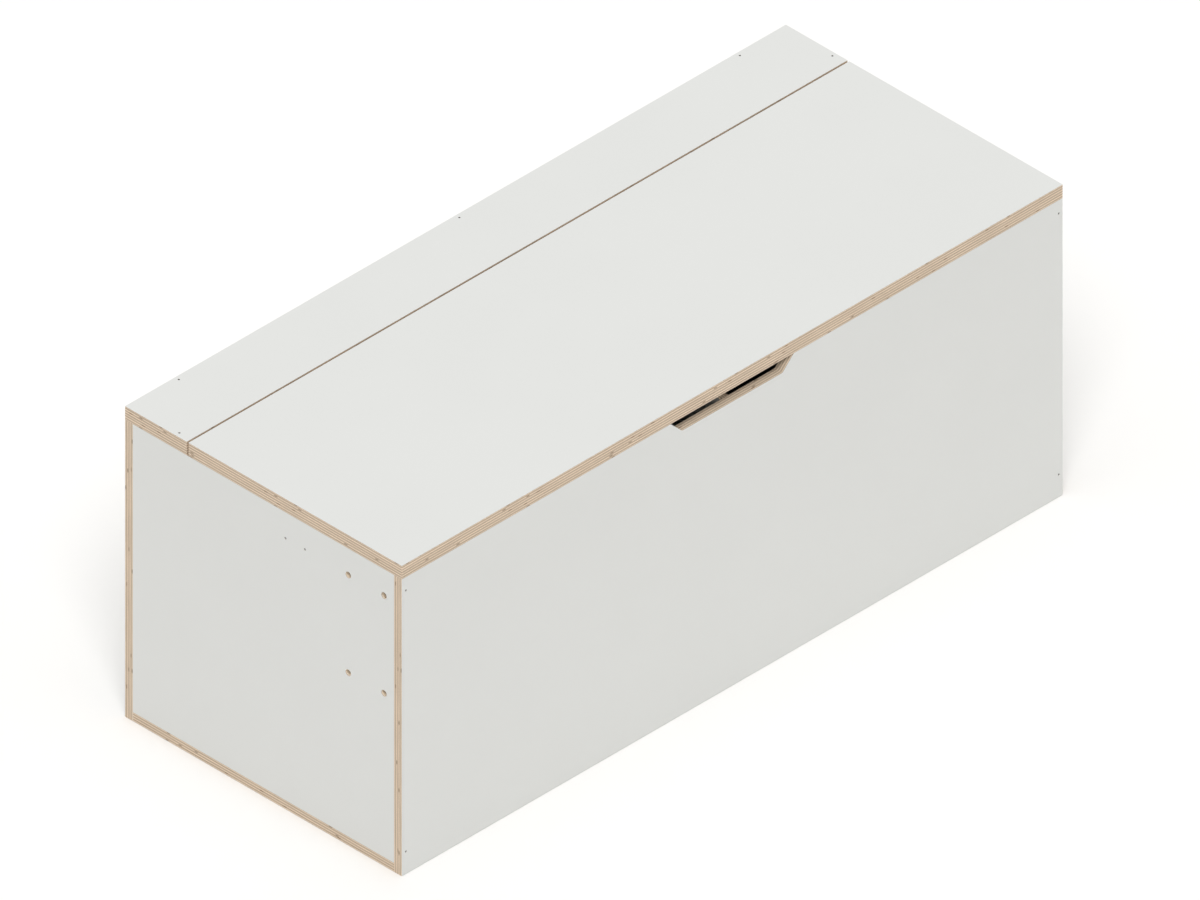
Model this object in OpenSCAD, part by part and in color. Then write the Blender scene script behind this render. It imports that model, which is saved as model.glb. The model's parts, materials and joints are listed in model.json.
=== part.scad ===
// Wooden toy box: a plywood chest with white laminate faces and bare ply edges.
// A fixed strip covers the back of the top, and the lid hinges on the strip's front edge.
// Frame: +X along the length, +Y to the back, +Z up; origin under the middle of the box, on the floor.
// All sizes are millimetres.

/* [Box] */
// Length of the box, left to right
box_l = 1000; // [800:10:1200]
// Depth of the box, front to back
box_d = 419; // [400:1:480]
// Height of the box, floor to the top of the lid
box_h = 407; // [380:1:460]
// Thickness of the front, back, side, bottom and divider panels
panel_t = 12; // [12:0.5:15]
// Thickness of the lid and of the fixed strip
lid_t = 18; // [18:0.5:21]
// Depth of the fixed strip, front to back
strip_d = 93.5; // [85:0.5:100]
// Small chamfer along every edge of a board
arris = 0.2; // [0.1:0.1:0.8]

/* [Finger notch] */
// Width of the notch at the top of the front panel
notch_w = 186; // [120:1:240]
// Depth of the notch below the lid
notch_depth = 17; // [12:1:24]
// Radius of the two corners of the notch's floor
notch_floor_r = 4; // [2:0.5:6]
// Radius that rounds the notch into the panel's top edge
notch_top_r = 3; // [1:0.5:5]

/* [Side holes] */
// Diameter of the four open holes in each side
vent_bore = 8; // [6:0.5:10]
// Distance between the two columns of open holes
vent_pitch_y = 54; // [40:1:64]
// Distance between the two rows of open holes
vent_pitch_z = 128; // [96:1:160]
// Distance from the front face to the first column
vent_inset = 27; // [24:1:34]
// Distance from the top of the box to the first row
vent_drop = 52.5; // [46:0.5:70]

/* [Hinges] */
// Gap between the lid and the strip
hinge_gap = 2.5; // [2:0.1:3]
// Distance from the middle of the box to the outer hinges
hinge_pitch = 350; // [200:10:380]
// How far the lid opens, in degrees
lid_open = 85; // [70:1:88]

/* [Lid stays] */
// Distance from the front face to the middle of a stay's side plate
stay_inset = 161.4; // [150:0.2:175]
// Distance from the top of the box to the stay's side plate
stay_drop = 51.7; // [48:0.1:60]
// Distance between the two screws of a side plate
stay_hole_pitch = 29.4; // [28:0.2:34]

/* [Screws and dowels] */
// Length of the screws that join the boards
screw_l = 40; // [32:1:45]
// Distance from the end of the box to the strip's rear screws
strip_screw_inset = 75.5; // [60:0.5:120]
// Distance from the back face to the strip's end screws
strip_screw_back = 76.4; // [60:0.2:80]
// Drop of the upper front and back screws below the top of the box
upper_screw_drop = 35.2; // [30:0.2:45]
// Height of the lower front and back screws above the floor
lower_screw_h = 29.8; // [24:0.2:60]

/* [Hidden] */
$fn = 48;
over = 1;           // how far a cutting shape passes the face that it cuts
running = 0.3;      // gap between parts that move against each other
fit = 0.05;         // radial gap around a screw, pin or dowel
mortise_gap = 0.1;  // gap around a hinge cup in its mortise

laminate = "#e6e6e2";
zinc = "#b9bcc0";
steel = "#8f9398";
beech = "#c9a67a";

// Outer faces and the main levels
left_x = -box_l / 2;
front_y = -box_d / 2;
back_y = box_d / 2;
inner_d = box_d - 2 * panel_t;
under_lid = box_h - lid_t;
strip_front_y = back_y - strip_d;
lid_back_y = strip_front_y - hinge_gap;
notch_floor_z = under_lid - notch_depth;

// Board screw: a thin trim head, set a little below the face
screw_head_r = 1.2;
screw_head_h = 2;
screw_shank_r = 1.0;
screw_sink = 0.3;
screw_point = 4;
drive_side = 1.2;
drive_depth = 1.2;
side_screw_x = left_x + panel_t / 2;
bottom_screw_pitch = 150;

// Dowels
dowel_r = 3;
dowel_l = 30;
dowel_in_panel = 9;
dowel_end_gap = 0.5;
bottom_dowel_pitch = 250;
divider_dowel_z = [0.3 * box_h, 0.7 * box_h];
divider_dowel_y = 0.3 * box_d;

// Lid axis, along X in the middle of the gap and just under the top surface
axis_y = strip_front_y - hinge_gap / 2;
axis_z = box_h - 0.5;

// Hinge: a curved link slides in arc grooves of two cups, both centred on the lid axis
cup_l = 60;
cup_h = 11;
cup_top_drop = 3.5;
cup_plate_t = 3;
cup_barrel_l = 34;
cup_barrel_d = 13.5;
cup_mid_z = box_h - cup_top_drop - cup_h / 2;
link_l = 26;
link_r_in = 9;
link_r_out = 12;
link_start = 29;    // angle of the link's ends below the horizontal, lid closed
link_end_gap = 2;   // degrees of groove left beyond the link's end
hinge_screw_x = 23.5;
hinge_x = [-hinge_pitch, 0, hinge_pitch];

// Small countersunk screws of the hinges and stays
small_head_r = 3;
small_shank_r = 1.45;
small_cone_h = 1.6;
hinge_screw_l = 16;

// Stay: a slotted arm turns on the lid bracket's pivot and slides on the side plate's stud.
// Pivot and stud are equally far from the lid axis, so the arm turns by half the lid's angle.
stay_pin_drop = 10;  // pivot below the lid's underside
stud_y = front_y + stay_inset;
stud_z = box_h - stay_drop;
stay_radius = norm([stud_y - axis_y, stud_z - axis_z]);
pivot_z = under_lid - stay_pin_drop;
pivot_y = axis_y - sqrt(pow(stay_radius, 2) - pow(axis_z - pivot_z, 2));
stud_span = norm([stud_y - pivot_y, stud_z - pivot_z]);
rest_angle = 2 * asin(stud_span / (2 * stay_radius));
open_span = 2 * stay_radius * sin((rest_angle + lid_open) / 2);
arm_tilt = atan2(stud_y - pivot_y, pivot_z - stud_z);
arm_t = 2.5;
arm_w = 16;
stud_r = 3;
pivot_r = 2.5;
rivet_head_r = 5;
rivet_head_h = 1.6;
plate_t = 2;
plate_w = 18;
plate_l = stay_hole_pitch + 16;
panel_inner_x = left_x + panel_t;
arm_x = panel_inner_x + plate_t + 0.4;
tab_x = arm_x + arm_t + running;
bracket_t = 2;
bracket_w = 24;
bracket_l = 52;
bracket_screw_pitch = 34;
bracket_screw_l = 12;
plate_screw_l = plate_t + panel_t - 0.3;  // blunt, and almost through to the side's outer face

// ---- shared shapes ----

module chamfered_rect(w, h) {
    polygon([[arris, 0], [w - arris, 0], [w, arris], [w, h - arris],
             [w - arris, h], [arris, h], [0, h - arris], [0, arris]]);
}

// A board that fills the box from corner lo to corner hi, with every edge eased
module board(lo, hi) {
    size = hi - lo;
    translate(lo) intersection() {
        linear_extrude(size.z)
            chamfered_rect(size.x, size.y);
        translate([0, size.y, 0]) rotate([90, 0, 0]) linear_extrude(size.y)
            chamfered_rect(size.x, size.z);
        rotate([90, 0, 90]) linear_extrude(size.x)
            chamfered_rect(size.y, size.z);
    }
}

// Turn a shape that points along -Z so that it points along +Y, -Y or +Z
module point_back() { rotate([90, 0, 0]) children(); }
module point_front() { rotate([-90, 0, 0]) children(); }
module point_up() { rotate([180, 0, 0]) children(); }

module both_ends() {
    children();
    mirror([1, 0, 0]) children();
}

// Board screw, head at the origin and shank down -Z; grow widens it into its own hole
module screw_body(grow) {
    head = screw_head_r + grow;
    shank = screw_shank_r + grow;
    rotate_extrude() polygon([
        [0, grow > 0 ? screw_sink + over : 0], [head, grow > 0 ? screw_sink + over : 0],
        [head, -screw_head_h], [shank, -screw_head_h - 0.8],
        [shank, screw_point - screw_l], [0, -screw_l - grow]
    ]);
}

module board_screw() {
    color(steel) difference() {
        screw_body(0);
        translate([0, 0, -drive_depth / 2 + over / 2])
            cube([drive_side, drive_side, drive_depth + over], center = true);
    }
}

// Countersunk screw, its flat head flush with z = 0 and the shank down -Z
module small_screw_body(len, grow, blunt = false) {
    point_l = blunt ? 0.3 : 3;
    point_r = blunt ? small_shank_r - point_l : 0.2;
    rotate_extrude() polygon([
        [0, grow > 0 ? over : 0], [small_head_r + grow, grow > 0 ? over : 0], [small_head_r + grow, -0.3],
        [small_shank_r + grow, -0.3 - small_cone_h], [small_shank_r + grow, point_l - len],
        [point_r + grow, -len - grow], [0, -len - grow]
    ]);
}

module small_screw(len, blunt = false) {
    color(zinc) difference() {
        small_screw_body(len, 0, blunt);
        for (turn = [0, 90]) rotate(turn) cube([3.2, 0.8, 2], center = true);
    }
}

module dowel() {
    ease = 1;
    color(beech) rotate_extrude() polygon([
        [0, 0], [dowel_r - ease, 0], [dowel_r, ease], [dowel_r, dowel_l - ease],
        [dowel_r - ease, dowel_l], [0, dowel_l]
    ]);
}

module dowel_hole() {
    translate([0, 0, -dowel_end_gap]) cylinder(r = dowel_r + fit, h = dowel_l + 2 * dowel_end_gap);
}

// ---- where the fasteners go; each takes the fastener or its hole as children ----

module at_front_screws() {
    for (side = [-1, 1], z = [lower_screw_h, box_h - upper_screw_drop])
        translate([side * side_screw_x, front_y + screw_sink, z]) point_back() children();
}

module at_back_screws() {
    for (side = [-1, 1], z = [lower_screw_h, box_h - upper_screw_drop])
        translate([side * side_screw_x, back_y - screw_sink, z]) point_front() children();
}

module at_bottom_screws() {
    for (side = [-1, 1], row = [-1, 0, 1])
        translate([side * side_screw_x, row * bottom_screw_pitch, screw_sink]) point_up() children();
}

module at_strip_back_screws() {
    for (side = [-1, 0, 1])
        translate([side * (box_l / 2 - strip_screw_inset), back_y - panel_t / 2, box_h - screw_sink])
            children();
}

module at_strip_end_screws() {
    for (side = [-1, 1])
        translate([side * side_screw_x, back_y - strip_screw_back, box_h - screw_sink]) children();
}

module at_bottom_dowels() {
    for (side = [-1, 1], column = [-1.5, -0.5, 0.5, 1.5])
        translate([column * bottom_dowel_pitch, side * (inner_d / 2 + dowel_in_panel), panel_t / 2])
            rotate([side * 90, 0, 0]) children();
}

module at_divider_dowels() {
    for (side = [-1, 1]) {
        for (z = divider_dowel_z)
            translate([0, side * (inner_d / 2 + dowel_in_panel), z]) rotate([side * 90, 0, 0]) children();
        translate([0, side * divider_dowel_y, panel_t - dowel_in_panel]) children();
    }
}

module at_hinge_screws() {
    for (x = hinge_x, side = [-1, 1])
        translate([x + side * hinge_screw_x, strip_front_y, cup_mid_z]) point_back() children();
}

module at_stay_side_screws(face_x) {
    for (side = [-1, 1])
        translate([face_x, stud_y + side * stay_hole_pitch / 2, stud_z]) rotate([0, 90, 0]) children();
}

module at_stay_lid_screws() {
    for (side = [-1, 1])
        translate([tab_x + bracket_w / 2, pivot_y + side * bracket_screw_pitch / 2, under_lid - bracket_t])
            point_up() children();
}

// Mirror a shape about the lid axis's upright plane, from the strip's side to the lid's
module on_lid_side() {
    translate([0, 2 * axis_y, 0]) mirror([0, 1, 0]) children();
}

// ---- boards ----

// Outline of the finger notch, in X and Z, with its floor at z = 0
module notch_outline() {
    half_top = notch_w / 2;
    half_floor = half_top - notch_depth;
    floor_cut = notch_floor_r * tan(22.5);
    top_cut = notch_top_r * tan(22.5);
    slope = sqrt(0.5);
    both_ends() {
        polygon([
            [0, 0], [half_floor - floor_cut, 0],
            [half_floor + floor_cut * slope, floor_cut * slope],
            [half_top, notch_depth], [half_top, notch_depth + over], [0, notch_depth + over]
        ]);
        translate([half_floor - floor_cut, notch_floor_r]) circle(notch_floor_r);
        difference() {
            polygon([
                [half_top - top_cut * slope, notch_depth - top_cut * slope],
                [half_top + top_cut, notch_depth], [half_top + top_cut, notch_depth + over],
                [half_top - top_cut * slope, notch_depth + over]
            ]);
            translate([half_top + top_cut, notch_depth - notch_top_r]) circle(notch_top_r);
        }
    }
}

module front_panel() {
    color(laminate) difference() {
        board([left_x, front_y, 0], [-left_x, front_y + panel_t, under_lid]);
        translate([0, front_y + panel_t + over, notch_floor_z]) rotate([90, 0, 0])
            linear_extrude(panel_t + 2 * over) notch_outline();
        at_front_screws() screw_body(fit);
        at_bottom_dowels() dowel_hole();
        at_divider_dowels() dowel_hole();
    }
}

module back_panel() {
    color(laminate) difference() {
        board([left_x, back_y - panel_t, 0], [-left_x, back_y, under_lid]);
        at_back_screws() screw_body(fit);
        at_strip_back_screws() screw_body(fit);
        at_bottom_dowels() dowel_hole();
        at_divider_dowels() dowel_hole();
    }
}

module side_panel() {
    color(laminate) difference() {
        board([left_x, -inner_d / 2, panel_t], [panel_inner_x, inner_d / 2, under_lid]);
        for (row = [0, 1], column = [0, 1])
            translate([left_x - over, front_y + vent_inset + column * vent_pitch_y,
                       box_h - vent_drop - row * vent_pitch_z])
                rotate([0, 90, 0]) cylinder(d = vent_bore, h = panel_t + 2 * over);
        at_stay_side_screws(left_x - over) cylinder(r = small_shank_r + fit, h = panel_t + 2 * over);
        at_front_screws() screw_body(fit);
        at_back_screws() screw_body(fit);
        at_bottom_screws() screw_body(fit);
        at_strip_end_screws() screw_body(fit);
    }
}

module bottom_panel() {
    color(laminate) difference() {
        board([left_x, -inner_d / 2, 0], [-left_x, inner_d / 2, panel_t]);
        at_bottom_screws() screw_body(fit);
        at_bottom_dowels() dowel_hole();
        at_divider_dowels() dowel_hole();
    }
}

module middle_divider() {
    color(laminate) difference() {
        board([-panel_t / 2, -inner_d / 2, panel_t], [panel_t / 2, inner_d / 2, notch_floor_z]);
        at_divider_dowels() dowel_hole();
    }
}

module rear_top_strip() {
    color(laminate) difference() {
        board([left_x, strip_front_y, under_lid], [-left_x, back_y, box_h]);
        at_hinges() cup_envelope(mortise_gap, over);
        at_hinge_screws() small_screw_body(hinge_screw_l, fit);
        at_strip_back_screws() screw_body(fit);
        at_strip_end_screws() screw_body(fit);
    }
}

module lid_panel() {
    color(laminate) difference() {
        board([left_x, front_y, under_lid], [-left_x, lid_back_y, box_h]);
        on_lid_side() at_hinges() cup_envelope(mortise_gap, over);
        on_lid_side() at_hinge_screws() small_screw_body(hinge_screw_l, fit);
        both_ends() at_stay_lid_screws() small_screw_body(bracket_screw_l, fit);
    }
}

// ---- hinges ----

module at_hinges() {
    for (x = hinge_x) translate([x, 0, 0]) children();
}

// Round-ended bar in the XY plane, centred on the origin
module stadium(len, width) {
    square([len - width, width], center = true);
    for (side = [-1, 1]) translate([side * (len - width) / 2, 0]) circle(d = width);
}

// Space of a hinge cup on the strip's side: a thin round-ended plate and a deep barrel.
// grow widens it into its mortise, and proud carries it past the board's edge.
module cup_envelope(grow = 0, proud = 0) {
    translate([0, strip_front_y - proud, cup_mid_z]) {
        rotate([-90, 0, 0]) linear_extrude(cup_plate_t + grow + proud)
            stadium(cup_l + 2 * grow, cup_h + 2 * grow);
        translate([-cup_barrel_l / 2 - grow, 0, -cup_h / 2 - grow])
            cube([cup_barrel_l + 2 * grow, cup_barrel_d + grow + proud, cup_h + 2 * grow]);
    }
}

// Curved bar round the lid axis, below it, that ends start degrees under the horizontal
module arc_band(width, r_in, r_out, start) {
    reach = 2 * r_out;
    translate([-width / 2, axis_y, axis_z]) rotate([90, 0, 90]) linear_extrude(width) intersection() {
        difference() {
            circle(r_out);
            circle(r_in);
        }
        polygon([
            [0, 0], [reach * cos(start), -reach * sin(start)], [reach, -reach - r_out],
            [-reach, -reach - r_out], [-reach * cos(start), -reach * sin(start)]
        ]);
    }
}

module hinge_cup() {
    color(zinc) difference() {
        cup_envelope();
        arc_band(link_l + 2 * running, link_r_in - running, link_r_out + running, link_start - link_end_gap);
        for (side = [-1, 1])
            translate([side * hinge_screw_x, strip_front_y, cup_mid_z]) point_back()
                small_screw_body(hinge_screw_l, fit);
    }
}

module hinge_link() {
    color(steel) arc_band(link_l, link_r_in, link_r_out, link_start);
}

// ---- lid stay, drawn at the left end ----

// Extrude an outline given in Y and Z along X, from x = 0
module along_x(thickness) {
    rotate([90, 0, 90]) linear_extrude(thickness) children();
}

module stay_side_plate() {
    color(zinc) difference() {
        translate([panel_inner_x, stud_y, stud_z]) along_x(plate_t) difference() {
            stadium(plate_l, plate_w);
            circle(stud_r + fit);
        }
        at_stay_side_screws(panel_inner_x + plate_t) small_screw_body(plate_screw_l, fit, true);
    }
}

module stay_stud() {
    head_x = arm_x + arm_t + running;
    color(steel) translate([panel_inner_x, stud_y, stud_z]) rotate([0, 90, 0]) {
        cylinder(r = stud_r, h = head_x - panel_inner_x);
        translate([0, 0, head_x - panel_inner_x]) cylinder(r = stud_r + 2.5, h = rivet_head_h);
    }
}

module stay_arm() {
    slot_from = stud_span - 1;
    slot_to = open_span + 0.5;
    slot_w = 2 * (stud_r + running);
    arm_l = slot_to + 2;
    color(zinc) translate([arm_x, pivot_y, pivot_z]) rotate([arm_tilt, 0, 0]) along_x(arm_t) difference() {
        translate([0, -arm_l / 2]) rotate(90) stadium(arm_l + arm_w, arm_w);
        circle(pivot_r + fit);
        translate([0, -(slot_from + slot_to) / 2]) rotate(90) stadium(slot_to - slot_from + slot_w, slot_w);
    }
}

module stay_lid_bracket() {
    color(zinc) difference() {
        translate([tab_x, pivot_y, under_lid]) {
            along_x(bracket_t) difference() {
                union() {
                    translate([-arm_w / 2, -stay_pin_drop]) square([arm_w, stay_pin_drop]);
                    translate([0, -stay_pin_drop]) circle(arm_w / 2);
                }
                translate([0, -stay_pin_drop]) circle(pivot_r + fit);
            }
            translate([0, 0, -bracket_t]) linear_extrude(bracket_t) flange_outline();
        }
        at_stay_lid_screws() small_screw_body(bracket_screw_l, fit);
    }
}

module stay_pivot() {
    shank_x = arm_x - running;
    shank_l = tab_x + bracket_t - shank_x;
    color(steel) translate([shank_x - rivet_head_h, pivot_y, pivot_z]) rotate([0, 90, 0]) {
        cylinder(r = rivet_head_r, h = rivet_head_h);
        cylinder(r = pivot_r, h = rivet_head_h + shank_l);
        translate([0, 0, rivet_head_h + shank_l]) cylinder(r = rivet_head_r, h = rivet_head_h);
    }
}

// Flange of the lid bracket, from the tab at x = 0, with its two free corners rounded
module flange_outline() {
    r = 4;
    translate([0, -bracket_l / 2]) square([bracket_w - r, bracket_l]);
    translate([bracket_w - r, -bracket_l / 2 + r]) square([r, bracket_l - 2 * r]);
    for (side = [-1, 1]) translate([bracket_w - r, side * (bracket_l / 2 - r)]) circle(r);
}

// ---- nodes ----

front_panel();
back_panel();
side_panel();  // left_side_panel
mirror([1, 0, 0]) side_panel();  // right_side_panel
bottom_panel();
middle_divider();
rear_top_strip();
lid_panel();

at_front_screws() board_screw();  // front_panel_screws
at_back_screws() board_screw();  // back_panel_screws
at_bottom_screws() board_screw();  // bottom_screws
at_strip_back_screws() board_screw();  // strip_back_screws
at_strip_end_screws() board_screw();  // strip_end_screws
at_bottom_dowels() dowel();  // bottom_dowels
at_divider_dowels() dowel();  // divider_dowels

translate([hinge_x[0], 0, 0]) hinge_cup();  // left_hinge_strip_cup
translate([hinge_x[1], 0, 0]) hinge_cup();  // centre_hinge_strip_cup
translate([hinge_x[2], 0, 0]) hinge_cup();  // right_hinge_strip_cup
on_lid_side() translate([hinge_x[0], 0, 0]) hinge_cup();  // left_hinge_lid_cup
on_lid_side() translate([hinge_x[1], 0, 0]) hinge_cup();  // centre_hinge_lid_cup
on_lid_side() translate([hinge_x[2], 0, 0]) hinge_cup();  // right_hinge_lid_cup
translate([hinge_x[0], 0, 0]) hinge_link();  // left_hinge_link
translate([hinge_x[1], 0, 0]) hinge_link();  // centre_hinge_link
translate([hinge_x[2], 0, 0]) hinge_link();  // right_hinge_link
at_hinge_screws() small_screw(hinge_screw_l);  // hinge_strip_screws
on_lid_side() at_hinge_screws() small_screw(hinge_screw_l);  // hinge_lid_screws

stay_side_plate();  // left_stay_side_plate
mirror([1, 0, 0]) stay_side_plate();  // right_stay_side_plate
stay_stud();  // left_stay_stud
mirror([1, 0, 0]) stay_stud();  // right_stay_stud
stay_arm();  // left_stay_arm
mirror([1, 0, 0]) stay_arm();  // right_stay_arm
stay_lid_bracket();  // left_stay_lid_bracket
mirror([1, 0, 0]) stay_lid_bracket();  // right_stay_lid_bracket
stay_pivot();  // left_stay_pivot
mirror([1, 0, 0]) stay_pivot();  // right_stay_pivot
both_ends() at_stay_side_screws(panel_inner_x + plate_t) small_screw(plate_screw_l, true);  // stay_side_screws
both_ends() at_stay_lid_screws() small_screw(bracket_screw_l);  // stay_lid_screws
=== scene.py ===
"""Looks of the wooden toy box: laminated plywood boards with bare ply edges, hinge and stay hardware.

Everything is in metres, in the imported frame: +X along the box, +Y to the back, +Z up.
"""

import json
import math

import bpy
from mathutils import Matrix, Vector


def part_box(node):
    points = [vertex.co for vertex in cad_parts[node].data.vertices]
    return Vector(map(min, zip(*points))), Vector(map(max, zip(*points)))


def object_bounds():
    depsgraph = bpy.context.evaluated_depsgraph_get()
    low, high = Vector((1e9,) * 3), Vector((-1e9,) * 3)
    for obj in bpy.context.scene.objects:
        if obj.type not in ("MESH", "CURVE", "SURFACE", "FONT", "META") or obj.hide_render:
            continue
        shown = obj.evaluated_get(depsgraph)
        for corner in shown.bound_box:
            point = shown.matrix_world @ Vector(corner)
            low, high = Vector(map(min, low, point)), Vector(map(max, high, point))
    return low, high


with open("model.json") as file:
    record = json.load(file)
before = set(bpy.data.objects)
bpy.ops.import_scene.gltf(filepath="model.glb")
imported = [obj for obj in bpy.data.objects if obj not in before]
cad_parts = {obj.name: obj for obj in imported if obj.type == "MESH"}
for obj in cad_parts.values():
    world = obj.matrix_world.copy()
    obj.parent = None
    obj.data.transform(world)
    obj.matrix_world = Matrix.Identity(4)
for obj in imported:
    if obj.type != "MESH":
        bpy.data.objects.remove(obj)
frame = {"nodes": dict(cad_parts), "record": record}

MM = 0.001
CAD_LO, CAD_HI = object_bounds()
NODES = frame["nodes"]


# ---- camera ----

# The view is isometric: the camera looks along (1, 1, -1) at the box's front left corner.
AZIMUTH = math.radians(-45)
ELEVATION = math.asin(1 / math.sqrt(3))
VIEW_WIDTH = 1.284
CAMERA_DISTANCE = 4.0
AIM_RIGHT, AIM_UP = 0.2120, 0.12396


def make_camera():
    back = towards(AZIMUTH, ELEVATION)
    right = Vector((math.cos(AZIMUTH), math.sin(AZIMUTH), 0))
    up = back.cross(right)
    corner = Vector((CAD_LO.x, CAD_LO.y, CAD_HI.z))
    aim = corner + right * AIM_RIGHT + up * AIM_UP
    data = bpy.data.cameras.new("camera")
    data.type = "ORTHO"
    data.ortho_scale = VIEW_WIDTH
    data.clip_end = 50
    camera = bpy.data.objects.new("camera", data)
    camera.location = aim + back * CAMERA_DISTANCE
    camera.rotation_mode = "QUATERNION"
    camera.rotation_quaternion = (-back).to_track_quat("-Z", "Y")
    bpy.context.scene.collection.objects.link(camera)
    bpy.context.scene.camera = camera


# ---- shader building ----


class Shader:
    """A material's node tree with short calls for the nodes that this file needs."""

    def __init__(self, name):
        self.material = bpy.data.materials.new(name)
        self.material.use_nodes = True
        self.tree = self.material.node_tree
        self.surface = self.tree.nodes["Principled BSDF"]

    def node(self, kind, inputs=(), **settings):
        made = self.tree.nodes.new(kind)
        for name, value in settings.items():
            setattr(made, name, value)
        for socket, value in dict(inputs).items():
            self.feed(made.inputs[socket], value)
        return made

    def feed(self, socket, value):
        if isinstance(value, bpy.types.NodeSocket):
            self.tree.links.new(value, socket)
        elif value is not None:
            socket.default_value = value

    def set(self, **values):
        for name, value in values.items():
            self.feed(self.surface.inputs[name.replace("_", " ")], value)

    def math(self, operation, a, b=None, c=None, clamp=False):
        made = self.node("ShaderNodeMath", operation=operation, use_clamp=clamp)
        for socket, value in zip(made.inputs, (a, b, c)):
            self.feed(socket, value)
        return made.outputs[0]

    def total(self, *values):
        result = values[0]
        for value in values[1:]:
            result = self.math("ADD", result, value)
        return result

    def ramp(self, value, low, high, to_low=0.0, to_high=1.0):
        made = self.node(
            "ShaderNodeMapRange",
            {"Value": value, "From Min": low, "From Max": high, "To Min": to_low, "To Max": to_high},
            interpolation_type="SMOOTHSTEP",
        )
        return made.outputs["Result"]

    def mix(self, factor, a, b, blend="MIX"):
        made = self.node("ShaderNodeMix", data_type="RGBA", blend_type=blend)
        for name, value in (("Factor", factor), ("A", a), ("B", b)):
            sockets = [s for s in made.inputs if s.name == name and s.enabled]
            self.feed(sockets[0], value)
        return [s for s in made.outputs if s.enabled][0]

    def vector(self, x, y, z):
        return self.node("ShaderNodeCombineXYZ", {"X": x, "Y": y, "Z": z}).outputs[0]

    def noise(self, vector, scale, detail=2.0, roughness=0.5):
        made = self.node(
            "ShaderNodeTexNoise",
            {"Vector": vector, "Scale": scale, "Detail": detail, "Roughness": roughness},
        )
        return made.outputs["Fac"]

    def brightness(self, value, spread):
        """A factor round 1 from a 0 to 1 value, to multiply a colour by."""
        return self.ramp(value, 0.25, 0.75, 1 - spread, 1 + spread)

    def scaled(self, colour, factor):
        if isinstance(colour, tuple):
            colour = colour[:3]
        made = self.node("ShaderNodeVectorMath", {0: colour}, operation="SCALE")
        self.feed(made.inputs["Scale"], factor)
        return made.outputs[0]

    def bump(self, height, distance, strength=1.0):
        made = self.node("ShaderNodeBump", {"Height": height, "Distance": distance, "Strength": strength})
        self.set(Normal=made.outputs["Normal"])

    def object_millimetres(self):
        """The piece's own coordinates in millimetres, one output each for X, Y and Z."""
        place = self.node("ShaderNodeTexCoord").outputs["Object"]
        return self.node("ShaderNodeSeparateXYZ", {0: self.scaled(place, 1 / MM)}).outputs


# ---- laminated plywood ----

# Lengths are in millimetres, as are all the patterns' places
LAMINATE = (0.757, 0.764, 0.744, 1)
LAMINATE_CUT = (0.46, 0.37, 0.28, 1)
LAMINATE_T = 0.6
FACE_SHARE = 0.6  # how much of a surface's normal lies along the thickness if it is laminate
VENEER_LIGHT = (0.82, 0.67, 0.52, 1)
VENEER_DARK = (0.53, 0.415, 0.303, 1)
# Wood painted lighter on hole and notch walls, as painted light where they lie in shade
VENEER_PAINTED_LIGHT = (0.97, 0.86, 0.70, 1)
VENEER_T = 1.65
VENEER_WAVE = 0.14
VENEER_WAVE_SCALE = 0.016
PAINTED_LIGHT_INSET = (4.0, 10.0)  # painted light on hole and notch walls, from none to full, by distance inside the outline
GLUE = (0.34, 0.235, 0.15, 1)
GLUE_LINE = (0.03, 0.16)  # from full to none, by distance from its middle
GLUE_SHARE = 0.75
GRAIN_LENGTH = 40.0
GRAIN_WIDTH = 0.5
GRAIN_CONTRAST = 0.11
PORE_SHARE = 0.38
DRIFT_LENGTH = 55.0
DRIFT_CONTRAST = 0.08
KNOT = (0.20, 0.115, 0.06, 1)
KNOT_SPACING = 120.0
KNOT_HALF_L = 3.6
KNOT_HALF_T = 0.42  # as a share of a veneer
KNOT_FADE = (0.25, 1.1)  # by the square of the distance from its middle, 1 at its outline
KNOT_STRENGTH = 0.8
KNOT_SHARE = 0.4


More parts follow.
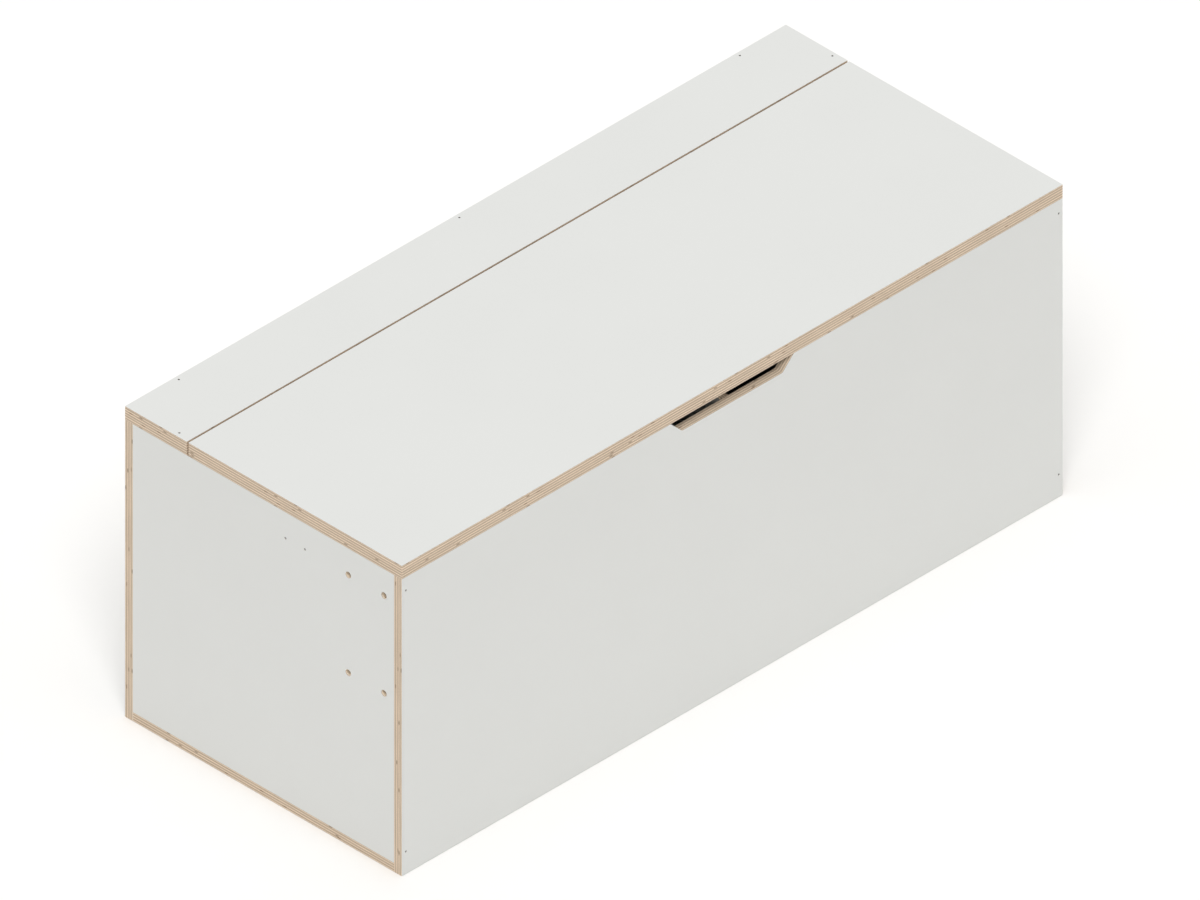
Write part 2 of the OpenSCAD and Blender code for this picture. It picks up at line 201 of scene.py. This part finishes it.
class Board:
    """Patterns through one board; the multiples of seed and index only set boards and veneers apart."""

    def __init__(self, name, thickness_axis, veneers, seed):
        lo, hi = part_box(name)
        self.size = [(b - a) / MM for a, b in zip(lo, hi)]
        self.centre = [(a + b) / 2 / MM for a, b in zip(lo, hi)]
        others = (i for i in range(3) if i != thickness_axis)
        self.long_axis, self.short_axis = sorted(others, key=lambda i: -self.size[i])
        self.middle = self.size[thickness_axis] / 2
        self.seed = seed
        self.shader = s = Shader(name + "_plywood")
        self.place = s.object_millimetres()
        self.through = self.place[thickness_axis]
        self.along, self.across = self.place[self.long_axis], self.place[self.short_axis]
        self.run = s.total(self.along, self.across)
        self.depth = s.math("SUBTRACT", self.through, lo[thickness_axis] / MM)
        normal = s.node("ShaderNodeTexCoord").outputs["Normal"]
        facing = s.node("ShaderNodeSeparateXYZ", {0: normal}).outputs[thickness_axis]
        self.on_face = s.math("GREATER_THAN", s.math("ABSOLUTE", facing), FACE_SHARE)
        self.index, self.inside = self.veneer(veneers)
        self.odd = s.math("FLOORED_MODULO", self.index, 2.0)
        self.grain_place = self.fibres()
        self.grain = s.noise(self.grain_place, scale=1.0, detail=3.0, roughness=0.6)
        from_line = s.math("MULTIPLY", s.math("PINGPONG", self.inside, 0.5), VENEER_T)
        self.glue = s.ramp(from_line, *GLUE_LINE, GLUE_SHARE, 0.0)

    def veneer(self, veneers):
        """Which veneer a point is in, and how far through it, with a slow wave in each line."""
        s = self.shader
        wave_place = s.vector(self.along, self.across, self.seed * 37.0)
        wave = s.noise(wave_place, scale=VENEER_WAVE_SCALE, detail=1.0)
        waved = s.math("ADD", self.depth, s.ramp(wave, 0.2, 0.8, -VENEER_WAVE, VENEER_WAVE))
        from_middle = s.math("SUBTRACT", waved, self.middle)
        level = s.math("ADD", s.math("DIVIDE", from_middle, VENEER_T), veneers / 2)
        return s.math("FLOOR", level), s.math("FRACT", level)

    def fibres(self):
        """Places stretched along the length of the board in even veneers and across it in odd ones."""
        s = self.shader
        fast, slow = 1 / GRAIN_WIDTH, 1 / GRAIN_LENGTH
        return s.vector(
            s.math("MULTIPLY", self.along, s.ramp(self.odd, 0, 1, slow, fast)),
            s.math("MULTIPLY", self.across, s.ramp(self.odd, 0, 1, fast, slow)),
            s.math("MULTIPLY_ADD", self.through, fast, self.seed * 11.0),
        )

    def veneer_colour(self):
        """Light and dark veneers, each with its own tone that drifts along the board, and pores."""
        s = self.shader
        drift_place = s.vector(
            s.math("MULTIPLY", self.run, 1 / DRIFT_LENGTH),
            s.math("MULTIPLY", self.index, 5.3),
            self.seed * 3.0,
        )
        drift = s.noise(drift_place, scale=1.0, detail=2.0)
        tone = s.math(
            "MULTIPLY", s.brightness(self.grain, GRAIN_CONTRAST), s.brightness(drift, DRIFT_CONTRAST)
        )
        wood = s.scaled(s.mix(self.odd, VENEER_LIGHT, VENEER_DARK), tone)
        pores = s.ramp(s.noise(self.grain_place, scale=2.3, detail=1.0), 0.60, 0.78)
        return s.mix(s.math("MULTIPLY", pores, PORE_SHARE), wood, GLUE)

    def painted_light_in_cuts(self, share):
        """How much painted light lightens the wood: share in holes and notches, 0 at the board's outer
        edges.
        """
        s = self.shader
        inset = [
            s.math(
                "SUBTRACT",
                self.size[i] / 2,
                s.math("ABSOLUTE", s.math("SUBTRACT", self.place[i], self.centre[i])),
            )
            for i in (self.long_axis, self.short_axis)
        ]
        return s.ramp(s.math("MINIMUM", *inset), *PAINTED_LIGHT_INSET, 0.0, share)

    def knots(self):
        """Short knots that the edge cuts through, in some of the cells along each veneer."""
        s = self.shader
        cell_place = s.total(
            s.math("MULTIPLY", self.run, 1 / KNOT_SPACING),
            s.math("MULTIPLY", self.index, 7.31),
            self.seed * 1.7,
        )
        cell = s.node(
            "ShaderNodeTexVoronoi",
            {"W": cell_place, "Scale": 1.0, "Randomness": 1.0},
            voronoi_dimensions="1D",
        )
        lot = s.node("ShaderNodeSeparateColor", {0: cell.outputs["Color"]}).outputs[1]
        chosen = s.math("LESS_THAN", lot, KNOT_SHARE)
        from_knot = s.math("MULTIPLY", cell.outputs["Distance"], KNOT_SPACING)
        sideways = s.math("DIVIDE", from_knot, KNOT_HALF_L)
        endways = s.math("DIVIDE", s.math("SUBTRACT", self.inside, 0.5), KNOT_HALF_T)
        reach = s.math("ADD", s.math("POWER", sideways, 2.0), s.math("POWER", endways, 2.0))
        return s.math("MULTIPLY", s.ramp(reach, *KNOT_FADE, KNOT_STRENGTH, 0.0), chosen)

    def edge_colour(self, painted_light_share):
        s = self.shader
        # painted light: hole and notch walls painted lighter, where they lie in shade
        wood = s.mix(self.painted_light_in_cuts(painted_light_share), self.veneer_colour(), VENEER_PAINTED_LIGHT)
        wood = s.mix(self.glue, wood, GLUE)
        wood = s.mix(self.knots(), wood, KNOT)
        off_middle = s.math("ABSOLUTE", s.math("SUBTRACT", self.depth, self.middle))
        cut_laminate = s.math("GREATER_THAN", off_middle, self.middle - LAMINATE_T)
        return s.mix(cut_laminate, wood, LAMINATE_CUT)


def plywood(name, thickness_axis, veneers, painted_light_share, seed):
    """White laminate on both faces of the board called name, veneers and glue lines on its edges.

    thickness_axis is 0, 1 or 2 for X, Y or Z, and the outer veneers' grain runs along the longer
    of the other two axes. Cuts away from the board's outline, its holes and notch, get painted light:
    their wood is painted lighter than the board's outer edges by the share given, where they lie in
    shade.
    """
    board = Board(name, thickness_axis, veneers, seed)
    s = board.shader
    place = s.vector(*board.place)
    cloud = s.noise(place, scale=0.006, detail=3.0, roughness=0.55)
    peel = s.noise(place, scale=0.55, detail=2.0, roughness=0.6)
    face = s.scaled(LAMINATE, s.brightness(cloud, 0.006))
    grooves = s.math("SUBTRACT", board.grain, s.math("MULTIPLY", board.glue, 0.8))
    rough_edge = s.ramp(board.grain, 0.2, 0.8, 0.62, 0.80)
    rough_face = s.ramp(peel, 0.3, 0.7, 0.44, 0.52)
    s.set(
        Base_Color=s.mix(board.on_face, board.edge_colour(painted_light_share), face),
        Roughness=s.mix(board.on_face, rough_edge, rough_face),
        Specular_IOR_Level=0.32,
    )
    s.bump(s.mix(board.on_face, grooves, peel), 0.035 * MM, 0.8)
    return s.material


# ---- metal and turned wood ----

ZINC_WARM = (0.60, 0.60, 0.59, 1)
ZINC_COOL = (0.50, 0.53, 0.57, 1)
GROUND_STEEL = (0.52, 0.52, 0.53, 1)
SCREW_STEEL = (0.36, 0.37, 0.38, 1)
BEECH_DARK = (0.46, 0.29, 0.16, 1)
BEECH_LIGHT = (0.66, 0.47, 0.30, 1)


def zinc_plate():
    s = Shader("zinc_plate")
    place = s.vector(*s.object_millimetres())
    cloud = s.noise(place, scale=0.09, detail=3.0, roughness=0.6)
    crystals = s.noise(place, scale=2.4, detail=2.0, roughness=0.6)
    s.set(
        Base_Color=s.scaled(s.mix(cloud, ZINC_WARM, ZINC_COOL), s.brightness(crystals, 0.05)),
        Roughness=s.total(s.ramp(cloud, 0.3, 0.7, 0.26, 0.36), s.ramp(crystals, 0.3, 0.7, -0.03, 0.03)),
        Metallic=1.0,
    )
    s.bump(crystals, 0.01 * MM, 0.5)
    return s.material


def bright_steel():
    """Ground steel with fine lines along X, the way the hinge links and pins are turned or drawn."""
    s = Shader("bright_steel")
    x, y, z = s.object_millimetres()
    stretched = s.vector(s.math("MULTIPLY", x, 0.08), y, z)
    lines = s.noise(stretched, scale=5.0, detail=3.0, roughness=0.7)
    cloud = s.noise(s.vector(x, y, z), scale=0.12, detail=2.0)
    s.set(
        Base_Color=s.scaled(GROUND_STEEL, s.brightness(lines, 0.08)),
        Roughness=s.total(s.ramp(lines, 0.3, 0.7, 0.20, 0.30), s.ramp(cloud, 0.3, 0.7, -0.02, 0.05)),
        Metallic=1.0,
    )
    s.bump(lines, 0.01 * MM, 0.6)
    return s.material


def dark_screw_steel():
    s = Shader("dark_screw_steel")
    place = s.vector(*s.object_millimetres())
    grains = s.noise(place, scale=3.0, detail=3.0, roughness=0.6)
    s.set(
        Base_Color=s.scaled(SCREW_STEEL, s.brightness(grains, 0.3)),
        Roughness=s.ramp(grains, 0.3, 0.7, 0.38, 0.56),
        Metallic=0.85,
    )
    s.bump(grains, 0.01 * MM, 0.6)
    return s.material


def beech():
    """Beech with its fibres along Y."""
    s = Shader("beech")
    x, y, z = s.object_millimetres()
    stretched = s.vector(x, s.math("MULTIPLY", y, 0.1), z)
    fibres = s.noise(stretched, scale=1.6, detail=3.0, roughness=0.6)
    s.set(
        Base_Color=s.mix(fibres, BEECH_DARK, BEECH_LIGHT),
        Roughness=s.ramp(fibres, 0.3, 0.7, 0.5, 0.7),
    )
    s.bump(fibres, 0.03 * MM, 0.6)
    return s.material


# ---- what each CAD node is made of ----

X, Y, Z = 0, 1, 2
PANEL_VENEERS = 7
LID_VENEERS = 11
# Each board: its thickness axis, veneers, and the share of painted light on its hole and notch walls
BOARDS = {
    "front_panel": (Y, PANEL_VENEERS, 0.08),
    "back_panel": (Y, PANEL_VENEERS, 0.0),
    "left_side_panel": (X, PANEL_VENEERS, 0.85),
    "right_side_panel": (X, PANEL_VENEERS, 0.85),
    "middle_divider": (X, PANEL_VENEERS, 0.0),
    "bottom_panel": (Z, PANEL_VENEERS, 0.0),
    "rear_top_strip": (Z, LID_VENEERS, 0.0),
    "lid_panel": (Z, LID_VENEERS, 0.0),
}


def dress(name, material):
    for slot in NODES[name].material_slots:
        slot.material = material


def dress_boards():
    for seed, (name, (axis, veneers, painted_light_share)) in enumerate(BOARDS.items()):
        dress(name, plywood(name, axis, veneers, painted_light_share, seed))


def dress_hardware():
    finishes = {
        "zinc_plate": zinc_plate(),
        "bright_steel": bright_steel(),
        "dark_screw_steel": dark_screw_steel(),
        "beech": beech(),
    }
    for part in frame["record"]["subparts"]:
        if part["material_slot"] in finishes:
            dress(part["node"], finishes[part["material_slot"]])


# ---- floor and light ----

FLOOR_SIZE = 40.0
FLOOR_DROP = 0.0002
FLOOR_COLOUR = (0.98, 0.972, 0.958, 1)

# Sky tint rises from the horizon's to the zenith's with the square of the direction's height
SKY_STRENGTH = 1.325
ZENITH_TINT = (1.0, 1.0, 1.0, 1)
HORIZON_TINT = (0.110, 0.108, 0.105, 1)

# The key light stands behind the camera and above it, so the shadow falls out of the camera's sight
KEY_AZIMUTH = math.radians(-44)
KEY_ELEVATION = math.radians(52)
KEY_STRENGTH = 0.40 * math.pi
KEY_SPREAD = math.radians(24)
KEY_DISTANCE = 3.0


def make_floor():
    half = FLOOR_SIZE / 2
    mesh = bpy.data.meshes.new("floor")
    corners = [(-half, -half, 0), (half, -half, 0), (half, half, 0), (-half, half, 0)]
    mesh.from_pydata(corners, [], [(0, 1, 2, 3)])
    floor = bpy.data.objects.new("floor", mesh)
    floor.location.z = CAD_LO.z - FLOOR_DROP
    bpy.context.scene.collection.objects.link(floor)
    s = Shader("floor")
    s.set(Base_Color=FLOOR_COLOUR, Roughness=0.9, Specular_IOR_Level=0.1)
    mesh.materials.append(s.material)


def towards(azimuth, elevation):
    """The unit vector to something seen at that azimuth (0 is in front, -90 is left) and elevation."""
    return Vector((
        math.sin(azimuth) * math.cos(elevation),
        -math.cos(azimuth) * math.cos(elevation),
        math.sin(elevation),
    ))


def make_key_light():
    data = bpy.data.lights.new("key", "SUN")
    data.energy = KEY_STRENGTH
    data.angle = KEY_SPREAD
    light = bpy.data.objects.new("key", data)
    light.rotation_mode = "QUATERNION"
    light.rotation_quaternion = (-towards(KEY_AZIMUTH, KEY_ELEVATION)).to_track_quat("-Z", "Y")
    light.location = towards(KEY_AZIMUTH, KEY_ELEVATION) * KEY_DISTANCE
    bpy.context.scene.collection.objects.link(light)


def make_sky():
    """Soft light from all round, brighter overhead; the backdrop that the camera sees is white."""
    world = bpy.data.worlds.new("studio")
    world.use_nodes = True
    bpy.context.scene.world = world
    tree = world.node_tree
    tree.nodes.clear()
    add = tree.nodes.new
    direction = add("ShaderNodeTexCoord")
    parts = add("ShaderNodeSeparateXYZ")
    height = add("ShaderNodeMath")
    height.operation = "POWER"
    height.inputs[1].default_value = 2.0
    height.use_clamp = True
    tint = add("ShaderNodeValToRGB")
    tint.color_ramp.elements[0].color = HORIZON_TINT
    tint.color_ramp.elements[1].color = ZENITH_TINT
    sky = add("ShaderNodeBackground")
    white = add("ShaderNodeBackground")
    path = add("ShaderNodeLightPath")
    choose = add("ShaderNodeMixShader")
    out = add("ShaderNodeOutputWorld")
    sky.inputs["Strength"].default_value = SKY_STRENGTH
    white.inputs["Color"].default_value = (1, 1, 1, 1)
    tree.links.new(direction.outputs["Generated"], parts.inputs[0])
    tree.links.new(parts.outputs["Z"], height.inputs[0])
    tree.links.new(height.outputs[0], tint.inputs[0])
    tree.links.new(tint.outputs["Color"], sky.inputs["Color"])
    tree.links.new(path.outputs["Is Camera Ray"], choose.inputs[0])
    tree.links.new(sky.outputs[0], choose.inputs[1])
    tree.links.new(white.outputs[0], choose.inputs[2])
    tree.links.new(choose.outputs[0], out.inputs[0])


def main():
    make_camera()
    dress_boards()
    dress_hardware()
    make_floor()
    make_sky()
    make_key_light()
    bpy.context.scene.view_settings.view_transform = "Standard"


main()
